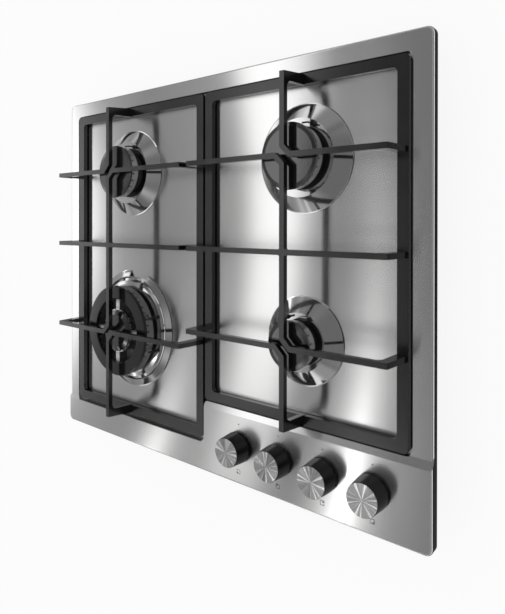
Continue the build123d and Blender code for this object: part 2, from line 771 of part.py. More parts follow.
def knob(x):
    """Hollow tapered knob with a D-bored hub."""
    z0, z1 = knob_bottom_z, knob_top_z
    taper_in = knob_base_r - knob_top_r
    shell = lathe((0, z1 - knob_lid), (knob_top_r - knob_wall, z1 - knob_lid), (knob_base_r - knob_wall, z0),
                  (knob_base_r, z0), (knob_base_r - taper_in, z1 - 0.3), (knob_top_r - 0.2, z1), (0, z1))
    shell = shell + drum(knob_hub_r, z0 + knob_hub_rise, z1 - knob_lid + 0.5)
    shell = shell - drum(knob_disc_r() + knob_disc_fit, z1 - knob_disc_t, z1 + 1)
    bore = d_section(spindle_r + spindle_fit, spindle_flat + spindle_fit)
    shell = shell - extrude(Pos(0, 0, z0 - 1) * bore, amount=spindle_top_z - z0 + 1)
    return Pos(x, knob_y, 0) * shell


def knob_disc_r():
    return knob_top_r - knob_disc_rim


def knob_disc(x):
    """Sun-brushed metal face with an engraved pointer."""
    r, top = knob_disc_r(), knob_top_z + knob_disc_proud
    disc = drum(r, knob_top_z - knob_disc_t, top)
    line = block(-knob_pointer_w / 2, knob_pointer_w / 2, r - knob_pointer_l, r + 1, top - knob_pointer_depth, top + 1)
    return Pos(x, knob_y, 0) * Rot(0, 0, knob_pointer_angle) * (disc - line)


def valve_spindle(x):
    """Tap spindle: round in the valve, with a D flat in the knob."""
    rod = drum(spindle_r, spring_bottom_z - spindle_tail, knob_bottom_z)
    tang = extrude(Pos(0, 0, knob_bottom_z) * d_section(spindle_r, spindle_flat),
                   amount=spindle_top_z - knob_bottom_z)
    collar = drum(spindle_collar_r, plunger_top_z, plunger_top_z + spindle_collar_h)
    return Pos(x, knob_y, 0) * (rod + tang + collar)


def spring_room(outer, inner, z0, z1):
    """Ring about the spindle's axis."""
    return drum(outer, z0, z1) - drum(inner, z0 - 1, z1 + 1)


def valve_plunger(x):
    """Ring between the spring and the spindle's collar."""
    ring = spring_room(plunger_r, spindle_r + plunger_clear, plunger_top_z - plunger_h, plunger_top_z)
    return Pos(x, knob_y, 0) * ring


def valve_spring(x):
    """Return spring, inside the valve."""
    ring = spring_room(spring_outer_r, spring_inner_r, spring_bottom_z, plunger_top_z - plunger_h)
    return Pos(x, knob_y, 0) * ring


def valve_body(x):
    """Brass tap on the manifold, with the feed outlet above it."""
    body = Box(valve_w, valve_d, valve_h, align=(Align.CENTER, Align.CENTER, Align.MIN))
    body = Pos(0, 0, valve_top_z - valve_h) * fillet(body.edges().filter_by(Axis.Z), valve_corner_r)
    neck_z = valve_top_z + valve_neck_h
    body = body + drum(valve_neck_r, valve_top_z - valve_cap_h, neck_z)
    body = body - drum(plunger_r + plunger_clear, spring_bottom_z, valve_top_z - valve_cap_h)
    body = body - drum(spindle_collar_r + valve_throat_clear, plunger_top_z, neck_z + 1)
    blind_z = spring_bottom_z - spindle_tail - knob_travel - valve_blind
    body = body - drum(spindle_r + spindle_fit, blind_z, valve_top_z)
    run = Plane(origin=(-valve_w, manifold_y - knob_y, manifold_z), z_dir=(1, 0, 0))
    body = body - extrude(run * Circle(manifold_r + tube_fit), amount=2 * valve_w)
    stub = Plane(origin=(0, valve_d / 2 - 1, tube_z), z_dir=(0, 1, 0))
    body = body + extrude(stub * Circle(tube_r + stub_wall), amount=stub_l + 1)
    return Pos(x, knob_y, 0) * (body - extrude(stub * Circle(tube_r + tube_fit), amount=stub_l + 2))


def manifold_end_y():
    return bay_y - box_t - inlet_hex_l - inlet_collar_l


def gas_manifold():
    """Steel pipe along the taps, back to the inlet at the rear right."""
    start = (knob_xs[0] - manifold_end, manifold_y, manifold_z)
    points = [start, (manifold_x, manifold_y, manifold_z), (manifold_x, manifold_end_y(), manifold_z)]
    tube = pipe(points, manifold_r, manifold_bend_r, manifold_r - manifold_wall)
    plug = Plane(origin=start, z_dir=(1, 0, 0))
    return tube + extrude(plug * Circle(manifold_r), amount=manifold_wall)


def gas_inlet():
    """Threaded end with a hexagon, through the wall of the tray's corner recess."""
    def face(y):
        return Plane(origin=(manifold_x, y, manifold_z), z_dir=(0, 1, 0))
    y0 = manifold_end_y()
    body = extrude(face(y0) * Circle(manifold_r + inlet_collar_wall), amount=inlet_collar_l)
    body = body + extrude(face(y0 + inlet_collar_l) * RegularPolygon(inlet_hex_r, 6), amount=inlet_hex_l)
    body = body + extrude(face(bay_y - box_t) * Circle(inlet_r), amount=inlet_l + box_t)
    return body - extrude(face(y0) * Circle(inlet_bore_r), amount=plate_d)


def feed_runs():
    """Centre lines of the four feed tubes, from tap to burner cup."""
    by_name = {burner.name: burner for burner in BURNERS}
    wok, rear_left = by_name["wok"], by_name["back_left"]
    rear_right, small = by_name["back_right"], by_name["front_right"]
    y0, z = knob_y + valve_d / 2, tube_z
    rises = [y0 + feed_rise + feed_rise_step * step for step in (2, 1, 0)]
    x1, x2, x3, x4 = knob_xs
    beside = small.x - feed_beside_small
    return {
        "wok": [(x1, y0, z), (x1, rises[0], z), (wok.x + wok.cup_r + feed_wok_turn, wok.y, z),
                (wok.x + wok.cup_r - 1, wok.y, z)],
        "back_left": [(x2, y0, z), (x2, rises[1], z), (feed_lane_x, small.y + feed_lane_back, z),
                      (rear_left.x + feed_rear_left_turn, rear_left.y, z),
                      (rear_left.x + rear_left.cup_r - 1, rear_left.y, z)],
        "back_right": [(x3, y0, z), (x3, rises[2], z), (beside, small.y - feed_small_front, z),
                       (beside, rear_right.y - feed_rear_right_turn, z),
                       (beside + feed_rear_right_bend, rear_right.y, z),
                       (rear_right.x - rear_right.cup_r + 1, rear_right.y, z)],
        "front_right": [(x4, y0, z), (x4, small.y - feed_small_turn, z), (x4 - feed_small_bend, small.y, z),
                        (small.x + small.cup_r - 1, small.y, z)],
    }


def feed_end(points, back):
    """Plane across a feed tube, this far before its burner end."""
    (ax, ay, _), (bx, by, _) = points[-2], points[-1]
    length = sqrt((bx - ax) ** 2 + (by - ay) ** 2)
    dx, dy = (bx - ax) / length, (by - ay) / length
    return Plane(origin=(bx - dx * back, by - dy * back, tube_z), z_dir=(dx, dy, 0))


def feed_tubes():
    """Soft aluminium tubes with a union at the burner end."""
    group = []
    for points in feed_runs().values():
        nut = feed_end(points, union_l + 1 + union_gap) * RegularPolygon(union_r, 6)
        tube = pipe(points, tube_r, tube_bend_r) + extrude(nut, amount=union_l)
        group.append(tube - pipe(points, tube_r - tube_wall, tube_bend_r))
    return Compound(children=group)


def feed_holes(cup, burner):
    """Hole in the cup for the end of its feed tube."""
    seat = feed_end(feed_runs()[burner.name], 2 * cup_wall)
    return cup - extrude(seat * Circle(tube_r + tube_fit), amount=4 * cup_wall)


# ================================================================ box and spark unit
def clamp_places():
    return [(x, y) for x in (box_left + clamp_side_inset, box_right - clamp_side_inset)
            for y in (box_front + clamp_front_inset, box_back - clamp_back_inset)]


def bottom_box():
    """Folded steel tray that closes the hob below the worktop."""
    top = rim_z - sheet_t
    t = box_t
    outer = rounded_plan(box_left, box_right, box_front, box_back, box_corner_r)
    inner = rounded_plan(box_left + t, box_right - t, box_front + t, box_back - t, box_corner_r - t)
    tray = extrude(Pos(0, 0, box_floor_z) * outer, amount=top - box_floor_z)
    tray = tray - extrude(Pos(0, 0, inner_floor_z) * inner, amount=top - inner_floor_z)
    for x, y in clamp_places():
        tray = tray - drum(clamp_hole_r, box_floor_z - 1, inner_floor_z + 1, x, y)
    vent = block(-box_vent_l / 2, box_vent_l / 2, -box_vent_w / 2, box_vent_w / 2,
                 box_floor_z - 1, inner_floor_z + 1)
    for x in (-column_x, column_x):
        for i in range(box_vents):
            tray = tray - Pos(x, middle_row_y + (i - (box_vents - 1) / 2) * box_vent_pitch, 0) * vent
    tray = tray - block(bay_x, right, bay_y, back, box_floor_z - 1, rim_z)
    tray = tray + block(bay_x - t, bay_x, bay_y - t, box_back, box_floor_z, floor_under_z)
    tray = tray + block(bay_x - t, box_right, bay_y - t, bay_y, box_floor_z, floor_under_z)
    for x, y, radius in ((manifold_x, bay_y, inlet_r + inlet_hole_clear), (gland_x, box_back, gland_r + tube_fit)):
        wall = Plane(origin=(x, y - 2 * t, manifold_z), z_dir=(0, 1, 0))
        tray = tray - extrude(wall * Circle(radius), amount=3 * t)
    return tray


def cable_gland():
    """Grommet for the mains cord, in the rear wall."""
    def face(y):
        return Plane(origin=(gland_x, y, manifold_z), z_dir=(0, 1, 0))
    inner_y = box_back - box_t - gland_inner_l
    body = extrude(face(inner_y) * Circle(gland_flange_r), amount=gland_inner_l)
    body = body + extrude(face(box_back - box_t) * Circle(gland_r), amount=box_t)
    body = body + extrude(face(box_back) * Circle(gland_flange_r), amount=gland_lip_l)
    return body - extrude(face(inner_y - 1) * Circle(gland_bore_r), amount=plate_d)


def spark_module():
    """Spark generator with four lead sockets, on the floor of the box."""
    body = Box(spark_w, spark_d, spark_h, align=(Align.CENTER, Align.CENTER, Align.MIN))
    body = Pos(0, spark_y, inner_floor_z) * fillet(body.edges().filter_by(Axis.Z), spark_corner_r)
    for side in (-1, 1):
        for dy in (-spark_boss_pitch / 2, spark_boss_pitch / 2):
            face = Plane(origin=(side * spark_w / 2, spark_y + dy, lead_z), z_dir=(side, 0, 0))
            body = body + extrude(face * Circle(spark_boss_r), amount=spark_boss_h)
    return body


def ignition_leads():
    """Four insulated leads from the spark unit to the igniters."""
    group = []
    ends = {"back_left": (-1, 1), "wok": (-1, -1), "back_right": (1, 1), "front_right": (1, -1)}
    for burner in BURNERS:
        side, row = ends[burner.name]
        x, y = burner.pin_places()[0]
        x0 = side * (spark_w / 2 + spark_boss_h)
        y0 = spark_y + row * spark_boss_pitch / 2
        turn = x0 + side * lead_run
        points = [(x0, y0, lead_z), (turn, y0, lead_z), (x, y, lead_z), (x, y, igniter_bottom_z)]
        group.append(pipe(points, lead_r, lead_bend_r))
    return Compound(children=group)


def knob_seals():
    """Rubber grommets where the spindles pass the plate."""
    group = []
    for x in knob_xs:
        ring = drum(grommet_r, panel_z, panel_z + grommet_top_h)
        ring = ring + drum(grommet_neck_r, panel_under_z - grommet_under_h, panel_z)
        ring = ring + drum(grommet_r, panel_under_z - grommet_under_h, panel_under_z)
        group.append(Pos(x, knob_y, 0) * (ring - drum(spindle_r + grommet_bore_clear, 0, knob_top_z)))
    return Compound(children=group)


# ================================================================ all pieces
def pieces():
    made = {
        "top_plate": top_plate(),
        "edge_seal": edge_seal(),
        "bottom_box": bottom_box(),
        "burner_screws": burner_screws(),
        "injectors": Compound(children=[burner.injector() for burner in BURNERS]),
        "igniters": Compound(children=[igniter(burner, 0) for burner in BURNERS]),
        "flame_probes": Compound(children=[igniter(burner, 1) for burner in BURNERS]),
        "pan_support_left": pan_support(*left_support, -column_x, (wok_y, back_y), -1),
        "pan_support_right": pan_support(*right_support, column_x, (front_right_y, back_y), 1),
        "support_feet_left": support_feet(*left_support),
        "support_feet_right": support_feet(*right_support),
        "gas_manifold": gas_manifold(),
        "gas_inlet": gas_inlet(),
        "feed_tubes": feed_tubes(),
        "spark_module": spark_module(),
        "ignition_leads": ignition_leads(),
        "cable_gland": cable_gland(),
        "knob_seals": knob_seals(),
    }
    for burner in BURNERS:
        made["burner_trim_" + burner.name] = burner.trim()
        made["burner_cup_" + burner.name] = feed_holes(burner.cup(), burner)
        made["burner_crown_" + burner.name] = burner.crown()
        made["burner_cap_" + burner.name] = burner.cap()
        if isinstance(burner, WokBurner):
            made["burner_cap_wok_inner"] = burner.inner_cap()
    for number, x in enumerate(knob_xs, start=1):
        made["knob_%d" % number] = knob(x)
        made["knob_disc_%d" % number] = knob_disc(x)
        made["valve_spindle_%d" % number] = valve_spindle(x)
        made["valve_plunger_%d" % number] = valve_plunger(x)
        made["valve_spring_%d" % number] = valve_spring(x)
        made["valve_body_%d" % number] = valve_body(x)
    return made


os.makedirs("parts", exist_ok=True)
for node, solid in pieces().items():
    export_step(solid, "parts/%s.step" % node)
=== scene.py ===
"""Looks of a built-in gas hob: steel plate, cast pan supports, burners and knobs."""

import bpy
import numpy as np
from mathutils import Matrix, Vector


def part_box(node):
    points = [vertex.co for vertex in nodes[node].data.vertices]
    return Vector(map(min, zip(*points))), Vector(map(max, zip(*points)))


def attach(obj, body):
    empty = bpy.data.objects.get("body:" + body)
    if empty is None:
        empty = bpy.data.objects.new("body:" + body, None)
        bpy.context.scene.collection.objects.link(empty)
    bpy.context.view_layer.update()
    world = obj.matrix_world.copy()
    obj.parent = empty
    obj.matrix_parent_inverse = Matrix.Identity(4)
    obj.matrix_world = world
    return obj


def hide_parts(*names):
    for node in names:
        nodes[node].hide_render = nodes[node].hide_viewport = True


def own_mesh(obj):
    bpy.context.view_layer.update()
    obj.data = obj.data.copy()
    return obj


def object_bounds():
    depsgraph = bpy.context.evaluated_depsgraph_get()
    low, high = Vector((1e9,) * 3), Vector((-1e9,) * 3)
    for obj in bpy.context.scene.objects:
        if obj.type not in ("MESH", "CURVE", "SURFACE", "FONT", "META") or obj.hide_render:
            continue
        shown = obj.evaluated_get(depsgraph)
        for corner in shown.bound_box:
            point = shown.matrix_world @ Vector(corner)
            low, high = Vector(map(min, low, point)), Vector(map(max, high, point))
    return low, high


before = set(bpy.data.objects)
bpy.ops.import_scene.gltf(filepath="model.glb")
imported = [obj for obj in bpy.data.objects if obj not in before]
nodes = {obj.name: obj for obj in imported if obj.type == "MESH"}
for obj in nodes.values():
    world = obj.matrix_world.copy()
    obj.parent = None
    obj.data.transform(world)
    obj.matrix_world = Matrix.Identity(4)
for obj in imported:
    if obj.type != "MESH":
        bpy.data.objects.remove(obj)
cad_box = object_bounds()
scene = bpy.context.scene
scene.view_settings.view_transform = "Standard"

# ---------------------------------------------------------------- camera
# The photograph looks down on the hob from above its right edge, and far
# enough across it to look steep.  Its top is the hob's wall side.
EYE = Vector((0.47645, 0.06411, 0.50716))
LOOK_DOWN_TURN = 0.66227        # from straight down towards the left, radians
LOOK_TILT = -0.00346
LOOK_ROLL = 0.00097
FOCAL_PX = 540.29
CENTRE_PX = (259.62, 224.40)
PHOTO_PX = (505, 614)
FILM_MM = 36.0
NEAREST_SEEN = 0.01

ahead = Vector((-np.sin(LOOK_DOWN_TURN), 0.0, -np.cos(LOOK_DOWN_TURN)))
across = Vector((np.cos(LOOK_DOWN_TURN), 0.0, -np.sin(LOOK_DOWN_TURN)))
upward = Vector((0.0, 1.0, 0.0))
tilted_ahead = ahead * np.cos(LOOK_TILT) + upward * np.sin(LOOK_TILT)
tilted_up = upward * np.cos(LOOK_TILT) - ahead * np.sin(LOOK_TILT)
rolled_across = across * np.cos(LOOK_ROLL) + tilted_up * np.sin(LOOK_ROLL)
rolled_up = tilted_up * np.cos(LOOK_ROLL) - across * np.sin(LOOK_ROLL)

lens = bpy.data.cameras.new("camera")
lens.sensor_fit = "AUTO"
lens.sensor_width = FILM_MM
lens.lens = FILM_MM * FOCAL_PX / max(PHOTO_PX)
lens.shift_x = (PHOTO_PX[0] / 2 - CENTRE_PX[0]) / max(PHOTO_PX)
lens.shift_y = (CENTRE_PX[1] - PHOTO_PX[1] / 2) / max(PHOTO_PX)
lens.clip_start = NEAREST_SEEN
camera = bpy.data.objects.new("camera", lens)
scene.collection.objects.link(camera)
turn = Matrix((rolled_across, rolled_up, -tilted_ahead)).transposed()
camera.matrix_world = Matrix.Translation(EYE) @ turn.to_4x4()
scene.camera = camera


# ---------------------------------------------------------------- studio
# A pale floor and soft white light all round.  Shiny parts mirror a grey room
# instead: a side box and a long box on the left, two small lamps in front,
# fainter boxes overhead, and a floor that is dark beyond the hob's right end.
class Wire:
    """An output of a shader node; arithmetic on numbers adds Math nodes."""

    def __init__(self, tree, socket):
        self.tree, self.socket = tree, socket

    def grow(self, kind, inputs=None, output=0, stops=None, **settings):
        """Adds a node: its settings first, then a ramp's stops, then values and links."""
        node = self.tree.nodes.new("ShaderNode" + kind)
        for name, value in settings.items():
            setattr(node, name, value)
        if stops:
            ramp = node.color_ramp.elements
            while len(ramp) < len(stops):
                ramp.new(0.5)
            for place, (position, grey) in zip(ramp, stops):
                place.position, place.color = position, (grey, grey, grey, 1.0)
        for name, value in (inputs or {}).items():
            if isinstance(value, Wire):
                self.tree.links.new(value.socket, node.inputs[name])
            elif value is not None:
                node.inputs[name].default_value = value
        return Wire(self.tree, node.outputs[output])

    def sum(self, operation, other=None):
        return self.grow("Math", {0: self, 1: other}, operation=operation)

    def __add__(self, other):
        return self.sum("ADD", other)

    def __sub__(self, other):
        return self.sum("SUBTRACT", other)

    def __mul__(self, other):
        return self.sum("MULTIPLY", other)

    def __truediv__(self, other):
        return self.sum("DIVIDE", other)

    def __radd__(self, other):
        return self + other

    def __rmul__(self, other):
        return self * other

    def __rsub__(self, other):
        return self * -1.0 + other

    def at_least(self, other):
        return self.sum("MAXIMUM", other)

    def exp(self):
        return self.sum("EXPONENT")

    def ease(self, low, high):
        """0 below low, 1 above high, smooth between them."""
        return self.grow("MapRange", {"Value": self, "From Min": low, "From Max": high},
                         interpolation_type="SMOOTHERSTEP")

    def parts(self):
        """X, Y and Z of a vector."""
        split = self.grow("SeparateXYZ", {0: self}).socket.node
        return [Wire(self.tree, out) for out in split.outputs]

    def vector(self, operation, other):
        return self.grow("VectorMath", {0: self, 1: other}, operation=operation)

    def grey(self, blue=None):
        """The colour with this level in every channel, or with a blue of its own."""
        return self.grow("CombineColor", {0: self, 1: self, 2: self if blue is None else blue})


def bell(value, centre, width):
    """Smooth hump of height 1: exp of minus the squared distance in widths."""
    offset = (value - centre) / width
    return (offset * offset * -1.0).exp()


def ray_kinds(tree):
    """1 where the camera looks straight at a point, and 1 where a shiny part mirrors it."""
    outputs = tree.grow("LightPath").socket.node.outputs
    return [Wire(tree.tree, outputs[kind]) for kind in ("Is Camera Ray", "Is Glossy Ray")]


CEILING_SOFT = 0.92             # what the ceiling gives to matt surfaces
BELOW_HORIZON = 0.10            # what shiny parts mirror from below the hob
LAMP_NORTH, LAMP_LENGTH = -0.47, 0.09
LEFT_LAMP, RIGHT_LAMP = -0.700, -0.432
world = bpy.data.worlds.new("studio")
scene.world = world
world.use_nodes = True
world.node_tree.nodes.clear()
sky = Wire(world.node_tree, None)
east, north, height = sky.grow("TexCoord", output="Generated").parts()
south = north * -1.0
walls = sky.grow("ValToRGB", {0: (east + 0.9) / 1.8}, stops=[
    (0.00, 0.40), (0.06, 0.38), (0.09, 0.28), (0.13, 0.34), (0.19, 0.36), (0.215, 0.21),
    (0.27, 0.24), (0.295, 0.17), (0.33, 0.16), (1.0, 0.17)])
side_box = (1.0 - east.ease(-0.835, -0.795)) * east.ease(-0.905, -0.875)
far = north.at_least(0.0)
middle = far * 0.08 - 0.592
half = far * 0.07 + 0.033
long_box = 1.0 - (east - middle).sum("ABSOLUTE").ease(half - 0.012, half + 0.018)
near_end = 1.0 - south.ease(0.26, 0.46) * 0.95
far_end = 1.0 - north.ease(0.60, 0.72)
boxes = (side_box * 1.25 + long_box * 1.05) * near_end * far_end
lamp_row = bell(north, LAMP_NORTH, LAMP_LENGTH)
left_lamp = (bell(east, LEFT_LAMP, 0.011) * 3.8 + bell(east, -0.690, 0.030) * 0.4) * lamp_row
right_lamp = (bell(east, RIGHT_LAMP, 0.012) * 4.5 + bell(east, -0.436, 0.045) * 1.2) * lamp_row
spill = bell(east, RIGHT_LAMP, 0.030) * south.ease(-0.17, 0.06) * 0.39
corner = bell(east, -0.36, 0.05) * bell(north, -0.44, 0.10) * 0.30
top_box = bell(east, 0.08, 0.22) * bell(north, 0.0, 0.26) * 0.30
end_boxes = bell(east, -0.05, 0.17) * (bell(north, 0.54, 0.14) + bell(north, -0.52, 0.12)) * 0.45
eastern = east.ease(0.30, 0.60)
ends = north.ease(0.70, 0.85) * 0.10 + south.ease(0.70, 0.85) * 0.18
sides = (eastern * 0.38 + (1.0 - eastern) * ends) * (1.0 - height.ease(0.50, 0.70))
horizon = (1.0 - height.ease(0.26, 0.39)) * 0.60
low_light = (sides + horizon) * east.ease(-0.70, -0.40)
studio = (walls + boxes + left_lamp + right_lamp + spill + corner
          + top_box + end_boxes + low_light)
overhead = height.ease(-0.02, 0.06)
room = studio * overhead + BELOW_HORIZON * (1.0 - overhead)
camera_ray, glossy_ray = ray_kinds(sky)
glow = CEILING_SOFT + glossy_ray * (room - CEILING_SOFT)
glow = glow + camera_ray * (1.0 - glow)
backdrop = sky.grow("Background", {"Color": (1, 1, 1, 1), "Strength": glow})
end = world.node_tree.nodes.new("ShaderNodeOutputWorld")
world.node_tree.links.new(backdrop.socket, end.inputs["Surface"])

FLOOR_HALF = 4.0
floor_z = cad_box[0][2]
floor_mesh = bpy.data.meshes.new("studio_floor")
floor_mesh.from_pydata([(-FLOOR_HALF, -FLOOR_HALF, floor_z), (FLOOR_HALF, -FLOOR_HALF, floor_z),
                        (FLOOR_HALF, FLOOR_HALF, floor_z), (-FLOOR_HALF, FLOOR_HALF, floor_z)],
                       [], [(0, 1, 2, 3)])
studio_floor = bpy.data.objects.new("studio_floor", floor_mesh)
scene.collection.objects.link(studio_floor)


def new_material(name):
    """An empty procedural material, and a wire on its tree."""
    material = bpy.data.materials.new(name)
    material.use_nodes = True
    material.node_tree.nodes.clear()
    return material, Wire(material.node_tree, None)


def finish_material(material, shader):
    """Links a shader to the material's output."""
    output = material.node_tree.nodes.new("ShaderNodeOutputMaterial")
    material.node_tree.links.new(shader.socket, output.inputs["Surface"])
    return material


PAPER_WHITE = 0.88              # how much of the floor the camera sees as plain white
MIRRORED_GREY, MIRRORED_DARK = 0.22, 0.015
paper, tree = new_material("studio_paper")
seen, mirrored = ray_kinds(tree)
matt_paper = tree.grow("BsdfDiffuse", {"Color": (0.85, 0.85, 0.85, 1.0)})
white_paper = tree.grow("Emission", {"Color": (1, 1, 1, 1), "Strength": 1.0})
floor_x, floor_y, _ = tree.grow("TexCoord", output="Object").parts()
dark_end = floor_x.ease(0.26, 0.32) * (1.0 - floor_x.ease(0.9, 1.6)) * bell(floor_y, 0.0, 0.9)
dark_grey = MIRRORED_GREY - (MIRRORED_GREY - MIRRORED_DARK) * dark_end
dark_paper = tree.grow("Emission", {"Color": dark_grey.grey(), "Strength": 1.0})
lit = tree.grow("MixShader", {0: seen * PAPER_WHITE, 1: matt_paper, 2: white_paper})
floor_shader = tree.grow("MixShader", {0: mirrored, 1: lit, 2: dark_paper})
floor_mesh.materials.append(finish_material(paper, floor_shader))


# ---------------------------------------------------------------- plate
# One pressed sheet of stainless steel, brushed from side to side, so it
# mirrors sharply across the hob and smears what it mirrors front to back.
def principled(tree, **values):
    """A Principled shader; plain values sit on its own sockets."""
    return tree.grow("BsdfPrincipled",
                     {name.replace("_", " "): value for name, value in values.items()})


def dress(material, *names):
    """Gives a material to CAD nodes."""
    for name in names:
        slots = nodes[name].data.materials
        slots.clear()
        slots.append(material)


def noise(tree, scale, detail=2.0):
    """Noise on the object's own coordinates, stretched by three scales per metre."""
    place = tree.grow("TexCoord", output="Object").vector("MULTIPLY", scale)
    return tree.grow("TexNoise", {"Vector": place, "Scale": 1.0, "Detail": detail})


def even_noise(tree, scale, detail=2.0):
    """Noise with one scale per metre all ways."""
    return noise(tree, (scale, scale, scale), detail)


def tilted_normal(tree, tilt, way):
    """The surface's normal, leaned along one direction by a varying slope."""
    normal = tree.grow("NewGeometry", output="Normal")
    lean = tree.grow("VectorMath", {0: way, "Scale": tilt}, operation="SCALE")
    return tree.grow("VectorMath", {0: normal.vector("ADD", lean)}, operation="NORMALIZE")


PLATE_GREY = 0.78
PLATE_ROUGH = 0.20
PLATE_SMEAR = 0.03
BRUSH_LINES = 3200.0            # per metre
PLATE_BLUE = 0.995              # its blue over its red


def brushed_sheet(name):
    """Steel brushed along X: it smears along Y, and fine lines lean the normal a little."""
    material, tree = new_material(name)
    fine = noise(tree, (14.0, BRUSH_LINES, BRUSH_LINES), 1.0)
    long = noise(tree, (5.0, BRUSH_LINES * 0.4, BRUSH_LINES * 0.4), 1.0)
    tone = PLATE_GREY * (0.985 + 0.03 * long)
    normal = tilted_normal(tree, (fine - 0.5) * PLATE_SMEAR, (0.0, 1.0, 0.0))
    across_lines = tree.grow("CombineXYZ", {"Y": 1.0})
    steel = principled(tree, Base_Color=tone.grey(tone * PLATE_BLUE), Metallic=1.0,
                       Roughness=PLATE_ROUGH, Anisotropic=1.0, Tangent=across_lines,
                       Normal=normal)
    return finish_material(material, steel)


dress(brushed_sheet("brushed_steel"), "top_plate")


# ---------------------------------------------------------------- tray and seal
# The tray below the worktop is folded zinc-coated sheet; a foam strip under
# the rim seals the plate to the worktop.
CRYSTALS = 110.0                # per metre
ZINC_BLUE = 1.02                # its blue over its red


def spangled_zinc():
    """Zinc coating: flat crystals of slightly different grey."""
    material, tree = new_material("zinc_sheet")
    place = tree.grow("TexCoord", output="Object")
    crystal = tree.grow("TexVoronoi", {"Vector": place, "Scale": CRYSTALS}, output="Color")
    shade = crystal.parts()[0]
    tone = 0.46 + 0.10 * shade
    zinc = principled(tree, Base_Color=tone.grey(tone * ZINC_BLUE), Metallic=1.0,
                      Roughness=0.34 + 0.12 * shade)
    return finish_material(material, zinc)


def grained(name, colour, rough, grain, bump, metallic=0.0, spread=0.25):
    """A plain finish with grain: its colour, gloss and surface vary together."""
    material, tree = new_material(name)
    speck = even_noise(tree, grain, 3.0)
    cloud = even_noise(tree, 25.0)
    level = 1.0 + (speck - 0.5) * spread + (cloud - 0.5) * spread
    tint = tree.grow("CombineColor", {i: level * part for i, part in enumerate(colour)})
    relief = tree.grow("Bump", {"Strength": 0.6, "Distance": bump, "Height": speck})
    shader = principled(tree, Base_Color=tint, Metallic=metallic, Normal=relief,
                        Roughness=rough + (cloud - 0.5) * 0.1)
    return finish_material(material, shader)


dress(spangled_zinc(), "bottom_box")
dress(grained("seal_foam", (0.02, 0.02, 0.02), 0.85, 1500.0, 0.0003), "edge_seal")
rubber = grained("rubber", (0.018, 0.018, 0.018), 0.62, 2500.0, 0.00005)
dress(rubber, "cable_gland", "knob_seals", "support_feet_left", "support_feet_right")


# ---------------------------------------------------------------- gas and spark parts in the tray
# Taps and jets are machined brass, the manifold is zinc-plated pipe, the
# feed tubes are soft aluminium, and silicone leads run from the spark unit.
numbers = range(1, 5)
brass = grained("brass", (0.70, 0.52, 0.24), 0.30, 1200.0, 0.00003, metallic=1.0, spread=0.12)
dress(brass, "gas_inlet", "injectors", *["valve_body_%d" % n for n in numbers])
turned = grained("turned_steel", (0.56, 0.56, 0.57), 0.28, 1800.0, 0.00002,
                 metallic=1.0, spread=0.10)
dress(turned, "burner_screws", "gas_manifold", *["valve_spindle_%d" % n for n in numbers],
      *["valve_plunger_%d" % n for n in numbers])
dress(grained("drawn_aluminium", (0.66, 0.66, 0.67), 0.36, 900.0, 0.00003, metallic=1.0),
      "feed_tubes")
dress(grained("moulded_white", (0.74, 0.74, 0.71), 0.45, 900.0, 0.00004), "spark_module")
dress(grained("silicone", (0.62, 0.60, 0.55), 0.55, 900.0, 0.00004), "ignition_leads")


# ---------------------------------------------------------------- return springs
# A coil of drawn spring steel round each spindle, seated on the tap's floor;
# the knob's push shortens it by the knob's travel.
def coil_spring(name, low, high, wire, turns, steps=160, sides=10):
    """Tube round a helix: angle grows evenly with height, and a circle is carried square to it."""
    axis_x, axis_y = (low[:2] + high[:2]) / 2
    reach = (high[0] - low[0]) / 2 - wire
    share = np.linspace(0.0, 1.0, steps)[:, None]
    angle = share * turns * 2 * np.pi
    rise = high[2] - low[2] - 2 * wire
    path = np.concatenate([axis_x + reach * np.cos(angle), axis_y + reach * np.sin(angle),
                           low[2] + wire + share * rise], axis=1)
    outward = np.concatenate([np.cos(angle), np.sin(angle), 0 * angle], axis=1)
    along = np.gradient(path, axis=0)
    along /= np.linalg.norm(along, axis=1, keepdims=True)
    upright = np.cross(outward, along)
    round_wire = np.arange(sides) * 2 * np.pi / sides
    tube = path[:, None] + wire * (np.cos(round_wire)[:, None] * outward[:, None]
                                   + np.sin(round_wire)[:, None] * upright[:, None])
    points = np.concatenate([tube.reshape(-1, 3), path[:1], path[-1:]])
    row, side = np.meshgrid(np.arange(steps - 1) * sides, np.arange(sides), indexing="ij")
    after = (side + 1) % sides
    quads = np.stack([row + side, row + sides + side, row + sides + after, row + after],
                     axis=-1).reshape(-1, 4)
    ring = np.arange(sides)
    following = (ring + 1) % sides
    last = (steps - 1) * sides
    start_cap = np.stack([np.full(sides, steps * sides), ring, following], axis=1)
    end_cap = np.stack([np.full(sides, steps * sides + 1), last + following, last + ring], axis=1)
    mesh = bpy.data.meshes.new(name)
    mesh.from_pydata(points.tolist(), [], quads.tolist() + start_cap.tolist() + end_cap.tolist())
    mesh.polygons.foreach_set("use_smooth", [True] * len(mesh.polygons))
    return bpy.data.objects.new(name, mesh)


SPRING_WIRE_RADIUS = 0.0006
SPRING_TURNS = 4.5
spring_wire = grained("spring_wire", (0.50, 0.50, 0.51), 0.26, 2400.0, 0.00001,
                      metallic=1.0, spread=0.10)
for n in numbers:
    low, high = (np.array(corner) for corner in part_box("valve_spring_%d" % n))
    spring = coil_spring("coil_spring_%d" % n, low, high, SPRING_WIRE_RADIUS, SPRING_TURNS)
    spring.data.materials.append(spring_wire)
    scene.collection.objects.link(spring)
    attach(spring, "base")
    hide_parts("valve_spring_%d" % n)
    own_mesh(spring)


